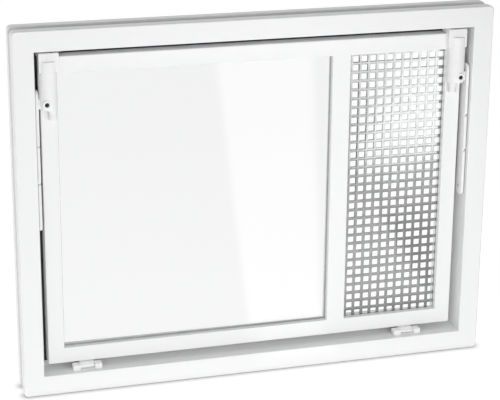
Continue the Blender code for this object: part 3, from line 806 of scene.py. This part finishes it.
def fill_cell(shape, lattice, i, j, rim=None):
    """Close one cell of the sheet's front or back, round a hole's rim if it has one."""
    cell = (lattice[i][j], lattice[i + 1][j], lattice[i + 1][j + 1], lattice[i][j + 1])
    if rim is None:
        shape.faces.new(cell)
        return
    for c in range(4):
        arc = rim[c * (HOLE_STEPS + 1) : (c + 1) * (HOLE_STEPS + 1)]
        for near, far in zip(arc, arc[1:]):
            shape.faces.new((cell[c], near, far))
        following = rim[(c + 1) * (HOLE_STEPS + 1) % len(rim)]
        shape.faces.new((cell[c], cell[(c + 1) % 4], following, arc[-1]))


def punch_cell(shape, front, back, i, j, middle, levels):
    """Close one cell on both faces round a hole, and line the hole."""
    x, z = middle
    loops = [[shape.verts.new((x + u, y, z + v)) for u, v in outline] for outline, y in levels]
    fill_cell(shape, front, i, j, loops[0])
    fill_cell(shape, back, i, j, loops[-1])
    for near, far in zip(loops, loops[1:]):
        for k in range(len(near)):
            m = (k + 1) % len(near)
            shape.faces.new((near[k], near[m], far[m], far[k]))


def close_border(shape, front, back):
    """Join the front and the back along the sheet's four edges."""
    across, up = len(front) - 1, len(front[0]) - 1
    border = [(i, 0) for i in range(across)] + [(across, j) for j in range(up)]
    border += [(i, up) for i in range(across, 0, -1)] + [(0, j) for j in range(up, 0, -1)]
    for (i, j), (k, m) in zip(border, border[1:] + border[:1]):
        shape.faces.new((front[i][j], front[k][m], back[k][m], back[i][j]))


def build_sheet(steel):
    """The vent sheet with its square, round-cornered holes."""
    low, high = SHEET_BOX
    columns, hole_columns = sheet_lines(low.x, high.x, FIRST_HOLE_X, HOLE_COLUMNS)
    rows, hole_rows = sheet_lines(low.z, high.z, FIRST_HOLE_Z, HOLE_ROWS)
    levels = hole_levels(low.y, high.y)
    shape = bmesh.new()
    front = [[shape.verts.new((x, low.y, z)) for z in rows] for x in columns]
    back = [[shape.verts.new((x, high.y, z)) for z in rows] for x in columns]
    for i in range(len(columns) - 1):
        for j in range(len(rows) - 1):
            if i not in hole_columns or j not in hole_rows:
                fill_cell(shape, front, i, j)
                fill_cell(shape, back, i, j)
                continue
            middle_x = FIRST_HOLE_X + hole_columns.index(i) * HOLE_PITCH
            middle_z = FIRST_HOLE_Z + hole_rows.index(j) * HOLE_PITCH
            punch_cell(shape, front, back, i, j, (middle_x, middle_z), levels)
    close_border(shape, front, back)
    piece("vent_sheet", shape, steel, "sash", "galvanised_sheet", "perforated_sheet")


# ---------------------------------------------------------------- fittings


def build_hinge(side, plastic):
    """The block on the sill whose two cheeks hold the hinge pin."""
    node = "hinge_block_" + side
    low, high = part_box(node)
    middle = (low.x + high.x) / 2
    block = soften(box(low, high), HINGE_EDGE)
    slot_low = (middle - HINGE_SLOT / 2, low.y - MM, low.z + HINGE_FLOOR)
    slot_high = (middle + HINGE_SLOT / 2, high.y + MM, high.z + MM)
    block = cut(block, box(slot_low, slot_high))
    pin_low, pin_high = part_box("hinge_pin_" + side)
    axis = ((pin_low.y + pin_high.y) / 2, (pin_low.z + pin_high.z) / 2)
    bore = (pin_high.y - pin_low.y) / 2 + FIXED_FIT
    block = cut(block, rod(axis, bore, "X", pin_low.x - TOUCH, pin_high.x + TOUCH))
    piece("hinge_seat_" + side, block, plastic, "frame", "white_plastic", node)


def build_corner_block(side, plastic):
    """The block on the sash's upper corner, hooked over the rail, that guides the bolt."""
    node = "corner_block_" + side
    low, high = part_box(node)
    tab = SASH_TOP + TOUCH
    back = SASH_FRONT - TOUCH
    outline = rounded(
        [
            (low.y, low.z, BLOCK_EDGES[0]),
            (back, low.z, 0),
            (back, tab, 0),
            (high.y, tab, 0),
            (high.y, high.z, BLOCK_EDGES[0]),
            (low.y, high.z, BLOCK_EDGES[1]),
        ]
    )
    block = soften(prism(outline, "X", low.x, high.x), BLOCK_END_EDGE, 60)
    spot = (SIDES[side] * BOLT_X, BOLT_Y)
    block = cut(block, rod(spot, BOLT_RADIUS + RUNNING_FIT, "Z", low.z - MM, high.z + MM))
    piece("latch_block_" + side, block, plastic, "sash", "white_plastic", node)


def sleeve_shell(side):
    """The round sleeve, flat at the back, trimmed to sit round the corner block, with its boss."""
    low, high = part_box("latch_housing_" + side)
    block_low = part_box("corner_block_" + side)[0]
    sign = SIDES[side]
    back = SASH_FRONT - TOUCH
    drop = math.acos((back - HOUSING_Y) / HOUSING_RADIUS)
    centre = (sign * HOUSING_X, HOUSING_Y)
    shell = circle(centre, HOUSING_RADIUS, 56, math.pi / 2 + drop, math.tau - 2 * drop)
    sleeve = soften(prism(shell, "Z", low.z, high.z), HOUSING_EDGE, 60)
    left, right = mirrored_x(side, *HOUSING_SPAN)
    behind_low = (left, block_low.y - TOUCH, block_low.z - TOUCH)
    sleeve = cut(sleeve, box(behind_low, (right, SASH_FRONT, high.z + MM)))
    boss = soften(rod((sign * BOSS_X, BOSS_Z), BOSS_RADIUS, "Y", low.y, HOUSING_Y), BOSS_EDGE)
    return join(sleeve, boss)


def stay_ear(side, pin_y, pin_z):
    """The rounded ear that carries the stay's pivot pin, and its ends along X."""
    stay_low, stay_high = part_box("stay_" + side)
    gap = min(abs(stay_low.x), abs(stay_high.x)) - TOUCH
    low, high = mirrored_x(side, SASH_HALF + TOUCH, gap)
    outline = rounded(
        [
            (HOUSING_Y - EAR_ROOT, pin_z - EAR_HALF, 0),
            (pin_y + EAR_HALF, pin_z - EAR_HALF, EAR_ROUND),
            (pin_y + EAR_HALF, pin_z + EAR_HALF, EAR_ROUND),
            (HOUSING_Y - EAR_ROOT, pin_z + EAR_HALF, 0),
        ],
        10,
    )
    return prism(outline, "X", low, high), low, high


def build_housing(side, plastic):
    """The latch's sleeve with its ear, and the bores for the bolt, grip, screw and pivot pin."""
    node = "latch_housing_" + side
    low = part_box(node)[0]
    block_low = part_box("corner_block_" + side)[0]
    sign = SIDES[side]
    housing = sleeve_shell(side)
    pin_low, pin_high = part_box("stay_pivot_pin_" + side)
    pin_y, pin_z = (pin_low.y + pin_high.y) / 2, (pin_low.z + pin_high.z) / 2
    ear, ear_low, ear_high = stay_ear(side, pin_y, pin_z)
    housing = join(housing, ear)
    bolt = (sign * BOLT_X, BOLT_Y)
    knob_low, knob_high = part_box("latch_knob_" + side)
    housing = cut(housing, rod(bolt, BOLT_RADIUS + RUNNING_FIT, "Z", low.z - MM, block_low.z))
    knob_radius = (knob_high.x - knob_low.x) / 2 + KNOB_ROOM
    cavity_top = knob_high.z + BOLT_TRAVEL + CAVITY_ROOM
    housing = cut(housing, rod(bolt, knob_radius, "Z", low.z - MM, cavity_top))
    boss = (sign * BOSS_X, BOSS_Z)
    sink = low.y + SCREW_SINK
    housing = cut(housing, rod(boss, SCREW_WELL, "Y", low.y - MM, sink))
    housing = cut(housing, rod(boss, SHANK_RADIUS + FIXED_FIT, "Y", sink - MM, SASH_FRONT, 24))
    pivot = rod((pin_y, pin_z), PIVOT_RADIUS + FIXED_FIT, "X", ear_low - MM, ear_high + MM, 32)
    housing = cut(housing, pivot)
    piece("latch_sleeve_" + side, housing, plastic, "sash", "white_plastic", node)


def build_screw(side, steel):
    """A pan-head screw with a cross recess, sunk in the sleeve's boss."""
    node = "housing_screw_" + side
    low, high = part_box(node)
    spot = (SIDES[side] * BOSS_X, BOSS_Z)
    head = (high.z - low.z) / 2
    dome = [(0, low.y)]
    for i in range(1, DOME_STEPS + 1):
        turn = math.radians(90 / DOME_STEPS * i)
        dome.append((head * math.sin(turn), low.y + DOME_HIGH * (1 - math.cos(turn))))
    under = low.y + SCREW_HEAD
    shank = [(head, under), (SHANK_RADIUS, under), (SHANK_RADIUS, high.y), (0, high.y)]
    screw = turned(dome + shank, spot, "Y")
    for wide, tall in ((RECESS_ARM, RECESS_HALF), (RECESS_HALF, RECESS_ARM)):
        recess_low = (spot[0] - wide, low.y - MM, spot[1] - tall)
        recess_high = (spot[0] + wide, low.y + RECESS_DEEP, spot[1] + tall)
        screw = cut(screw, box(recess_low, recess_high))
    piece("sleeve_screw_" + side, screw, steel, "sash", "zinc_steel", node)


def build_knob(side, plastic):
    """The bolt's finger grip, with three shallow grooves and a rounded foot."""
    node = "latch_knob_" + side
    low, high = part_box(node)
    spot = ((low.x + high.x) / 2, (low.y + high.y) / 2)
    radius = (high.x - low.x) / 2
    bore = BOLT_RADIUS + FIXED_FIT
    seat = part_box("latch_bolt_" + side)[0].z - TOUCH
    profile = [(0, low.z)]
    for i in range(1, GRIP_FOOT_STEPS + 1):
        turn = math.radians(90 / GRIP_FOOT_STEPS * i)
        outward = radius - GRIP_FOOT + GRIP_FOOT * math.sin(turn)
        profile.append((outward, low.z + GRIP_FOOT * (1 - math.cos(turn))))
    for groove in GRIP_GROOVES:
        z = low.z + groove
        profile += [(radius, z - GROOVE_HALF), (radius - GROOVE_DEEP, z - GROOVE_FLOOR)]
        profile += [(radius - GROOVE_DEEP, z + GROOVE_FLOOR), (radius, z + GROOVE_HALF)]
    profile += [(radius, high.z - GRIP_EDGE), (radius - GRIP_EDGE, high.z)]
    profile += [(bore, high.z), (bore, seat), (0, seat)]
    grip = turned(profile, spot, "Z")
    piece("latch_grip_" + side, grip, plastic, "bolt_" + side, "white_plastic", node)


def build_stay(side, steel):
    """The flat side stay, with two notches in its front edge."""
    node = "stay_" + side
    low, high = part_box(node)
    pin_low, pin_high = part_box("stay_pivot_pin_" + side)
    stud_low, stud_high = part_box("stay_stud_" + side)
    outline = [(low.y, low.z, STAY_CORNER), (high.y, low.z, STAY_CORNER)]
    outline += [(high.y, high.z, STAY_CORNER), (low.y, high.z, STAY_CORNER)]
    plate = prism(rounded(outline, 10), "X", low.x, high.x)
    for z in NOTCHES_Z:
        tooth = rounded(
            [
                (low.y - MM, z - NOTCH_HALF, 0),
                (low.y + NOTCH_DEEP, z - NOTCH_HALF * 0.4, STAY_EDGE),
                (low.y + NOTCH_DEEP, z + NOTCH_HALF, STAY_EDGE),
                (low.y - MM, z + NOTCH_HALF, 0),
            ],
            3,
        )
        plate = cut(plate, prism(tooth, "X", low.x - MM, high.x + MM))
    plate = soften(plate, STAY_EDGE, 60)
    middle_y = (low.y + high.y) / 2
    pin_z = (pin_low.z + pin_high.z) / 2
    stud_z = (stud_low.z + stud_high.z) / 2
    for z, bore in ((pin_z, PIVOT_RADIUS + RUNNING_FIT), (stud_z, STUD_RADIUS + FIXED_FIT)):
        plate = cut(plate, rod((middle_y, z), bore, "X", low.x - MM, high.x + MM, 32))
    piece("stay_plate_" + side, plate, steel, node, "white_coated_steel", node)


def build_keeper(side, steel):
    """The plate under the head that the bolt goes through."""
    node = "keeper_plate_" + side
    low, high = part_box(node)
    plate = soften(box(low, high), KEEPER_EDGE)
    spot = (SIDES[side] * BOLT_X, BOLT_Y)
    plate = cut(plate, rod(spot, BOLT_RADIUS + KEEPER_ROOM, "Z", low.z - MM, high.z + MM))
    piece("keeper_" + side, plate, steel, "frame", "zinc_steel", node)


def dress_kept_nodes(moulding, zinc, dark_rubber):
    """Materials for the CAD nodes that stay as they are."""
    finishes = {}
    for side in SIDES:
        finishes["hinge_knuckle_" + side] = moulding
        finishes["hinge_pin_" + side] = zinc
        finishes["stay_pivot_pin_" + side] = zinc
        finishes["stay_stud_" + side] = zinc
        finishes["latch_bolt_" + side] = zinc
        finishes["bolt_ring_" + side] = dark_rubber
    for node, material in finishes.items():
        for slot in frame["nodes"][node].material_slots:
            slot.material = material


# ---------------------------------------------------------------- studio


def stage_floor():
    """A pale floor that is brightest under and behind the window, with a painted contact shadow in its glow where
    something touches it.
    """
    mesh = bpy.data.meshes.new("floor")
    corners = [(x * FLOOR_HALF, y * FLOOR_HALF, 0) for x, y in ((-1, -1), (1, -1), (1, 1), (-1, 1))]
    mesh.from_pydata(corners, [], [(0, 1, 2, 3)])
    obj = bpy.data.objects.new("floor", mesh)
    bpy.context.scene.collection.objects.link(obj)
    n = Nodes("floor")
    n.set(Base_Color=(FLOOR_COLOUR, FLOOR_COLOUR, FLOOR_COLOUR, 1.0), Roughness=0.8)
    n.set(Emission_Color=(1.0, 1.0, 1.0, 1.0))
    apart = n.add("ShaderNodeSeparateXYZ")
    n.join(n.place, apart.inputs["Vector"])
    glow = n.between(apart.outputs["Y"], *FLOOR_GLOW, *FLOOR_GLOW_Y)
    # Ambient occlusion darkens the floor's glow next to the window: a painted contact shadow.
    painted_contact_shadow = n.add("ShaderNodeAmbientOcclusion", samples=8)
    painted_contact_shadow.inputs["Distance"].default_value = PAINTED_CONTACT_SHADOW_REACH
    n.join(n.math("MULTIPLY", glow, painted_contact_shadow.outputs["AO"]), n.shader.inputs["Emission Strength"])
    mesh.materials.append(n.material)


def card_mesh(name, corners):
    """A four-sided sheet in small cells, whose UVs run from 0 to 1 across it."""
    a, b, c, d = [Vector(corner) for corner in corners]
    spots, faces, shares = [], [], []
    for j in range(CARD_STEPS + 1):
        for i in range(CARD_STEPS + 1):
            u, v = i / CARD_STEPS, j / CARD_STEPS
            spots.append((a * (1 - u) + b * u) * (1 - v) + (d * (1 - u) + c * u) * v)
            shares.append((u, v))
    for j in range(CARD_STEPS):
        for i in range(CARD_STEPS):
            first = j * (CARD_STEPS + 1) + i
            faces.append((first, first + 1, first + CARD_STEPS + 2, first + CARD_STEPS + 1))
    mesh = bpy.data.meshes.new(name)
    mesh.from_pydata(spots, [], faces)
    place = mesh.uv_layers.new(name="place")
    for loop in mesh.loops:
        place.data[loop.index].uv = shares[loop.vertex_index]
    return mesh


def card_glow(name, strength, fade):
    """Plain light that fades to clear towards the card's edges."""
    n = Nodes(name)
    apart = n.add("ShaderNodeSeparateXYZ")
    n.join(n.add("ShaderNodeTexCoord").outputs["UV"], apart.inputs["Vector"])
    mask = None
    for axis, (start, end) in zip("XY", (fade[:2], fade[2:])):
        for low, high in ((0.0, start), (1.0, 1.0 - end)):
            rise = n.between(apart.outputs[axis], 0.0, 1.0, low, high)
            rise.node.interpolation_type = "SMOOTHSTEP"
            mask = rise if mask is None else n.math("MULTIPLY", mask, rise)
    glow = n.add("ShaderNodeEmission")
    glow.inputs["Strength"].default_value = strength
    clear = n.add("ShaderNodeBsdfTransparent")
    mix = n.add("ShaderNodeMixShader")
    n.join(mask, mix.inputs["Fac"])
    n.join(clear.outputs["BSDF"], mix.inputs[1])
    n.join(glow.outputs["Emission"], mix.inputs[2])
    n.join(mix.outputs["Shader"], n.tree.nodes["Material Output"].inputs["Surface"])
    return n.material


def reflector(name, corners, strength, fade):
    """A glowing card that only shows in gloss."""
    mesh = card_mesh(name, corners)
    mesh.materials.append(card_glow(name, strength, fade))
    obj = bpy.data.objects.new(name, mesh)
    bpy.context.scene.collection.objects.link(obj)
    obj.visible_camera = False
    obj.visible_diffuse = False
    obj.visible_shadow = False
    obj.visible_transmission = False


def soft_box(name, place, target, width, height, power):
    lamp = bpy.data.lights.new(name, "AREA")
    lamp.shape = "RECTANGLE"
    lamp.size = width
    lamp.size_y = height
    lamp.energy = power
    obj = bpy.data.objects.new(name, lamp)
    bpy.context.scene.collection.objects.link(obj)
    obj.location = place
    aim = Vector(target) - Vector(place)
    obj.rotation_mode = "QUATERNION"
    obj.rotation_quaternion = aim.to_track_quat("-Z", "Y")
    obj.visible_camera = False
    return obj


def build_world():
    """Studio light: bright behind the window, dim in front of it, and dimmer to the right."""
    world = bpy.data.worlds.new("studio")
    bpy.context.scene.world = world
    world.use_nodes = True
    tree = world.node_tree
    place = tree.nodes.new("ShaderNodeTexCoord").outputs["Generated"]
    apart = tree.nodes.new("ShaderNodeSeparateXYZ")
    tree.links.new(place, apart.inputs["Vector"])

    def ramp(output, span, low, high):
        node = tree.nodes.new("ShaderNodeMapRange")
        node.interpolation_type = "SMOOTHSTEP"
        node.inputs["From Min"].default_value = span[0]
        node.inputs["From Max"].default_value = span[1]
        node.inputs["To Min"].default_value = low
        node.inputs["To Max"].default_value = high
        tree.links.new(output, node.inputs["Value"])
        return node.outputs["Result"]

    ahead = ramp(apart.outputs["Y"], BACK_TO_FRONT, WORLD_BACK, WORLD_FRONT)
    overhead = ramp(apart.outputs["Z"], UP_TO_TOP, 0.0, 1.0)
    blend = tree.nodes.new("ShaderNodeMix")
    tree.links.new(overhead, blend.inputs["Factor"])
    tree.links.new(ahead, blend.inputs["A"])
    blend.inputs["B"].default_value = WORLD_TOP
    aside = ramp(apart.outputs["X"], MIDDLE_TO_RIGHT, 1.0, WORLD_RIGHT)
    level = tree.nodes.new("ShaderNodeMath")
    level.operation = "MULTIPLY"
    tree.links.new(blend.outputs["Result"], level.inputs[0])
    tree.links.new(aside, level.inputs[1])
    background = tree.nodes["Background"]
    background.inputs["Color"].default_value = (1.0, 1.0, 1.0, 1.0)
    tree.links.new(level.outputs["Value"], background.inputs["Strength"])


def build_studio():
    build_world()
    stage_floor()
    key = soft_box("key", *KEY_BOX)
    key.visible_transmission = False
    front = soft_box("front", *FRONT_BOX)
    front.visible_glossy = False
    front.visible_transmission = False
    for level, (name, card) in enumerate(CARDS.items()):
        corners = [(x, y, LOWEST_CARD + level * MM) for x, y in card["corners"]]
        reflector(name, corners, card["strength"], card["fade"])
    reflector("high", **HIGH_CARD)


def build_camera():
    lens = bpy.data.cameras.new("camera")
    lens.lens = CAMERA_LENS
    lens.sensor_width = CAMERA_SENSOR
    obj = bpy.data.objects.new("camera", lens)
    bpy.context.scene.collection.objects.link(obj)
    obj.location = CAMERA_PLACE
    obj.rotation_euler = [math.radians(angle) for angle in CAMERA_TURN]
    bpy.context.scene.camera = obj
    bpy.context.scene.view_settings.view_transform = "Standard"


def main():
    profile = extruded_plastic()
    moulding = moulded_plastic()
    coat = coated_steel()
    zinc = zinc_steel()
    grey_rubber = rubber("grey_rubber", (0.34, 0.345, 0.35), (0.42, 0.425, 0.43))
    # dark_rubber serves the bolt rings and the seal; on the seal its black is also painted shade for the deep gap
    # behind the sash.
    dark_rubber = rubber("dark_rubber", (0.018, 0.018, 0.019), (0.04, 0.04, 0.042))
    build_frame(profile)
    build_seal(dark_rubber)
    build_sash(profile)
    build_mullion(profile)
    build_glazing(grey_rubber, profile, window_glass())
    build_sheet(galvanised_steel())
    # The screws' near-black colour is painted shade of their sunk wells.
    screw = screw_painted_shade()
    for side in SIDES:
        build_hinge(side, moulding)
        build_keeper(side, zinc)
        build_corner_block(side, moulding)
        build_housing(side, moulding)
        build_screw(side, screw)
        build_knob(side, moulding)
        build_stay(side, coat)
    dress_kept_nodes(moulding, zinc, dark_rubber)
    build_studio()
    build_camera()


main()
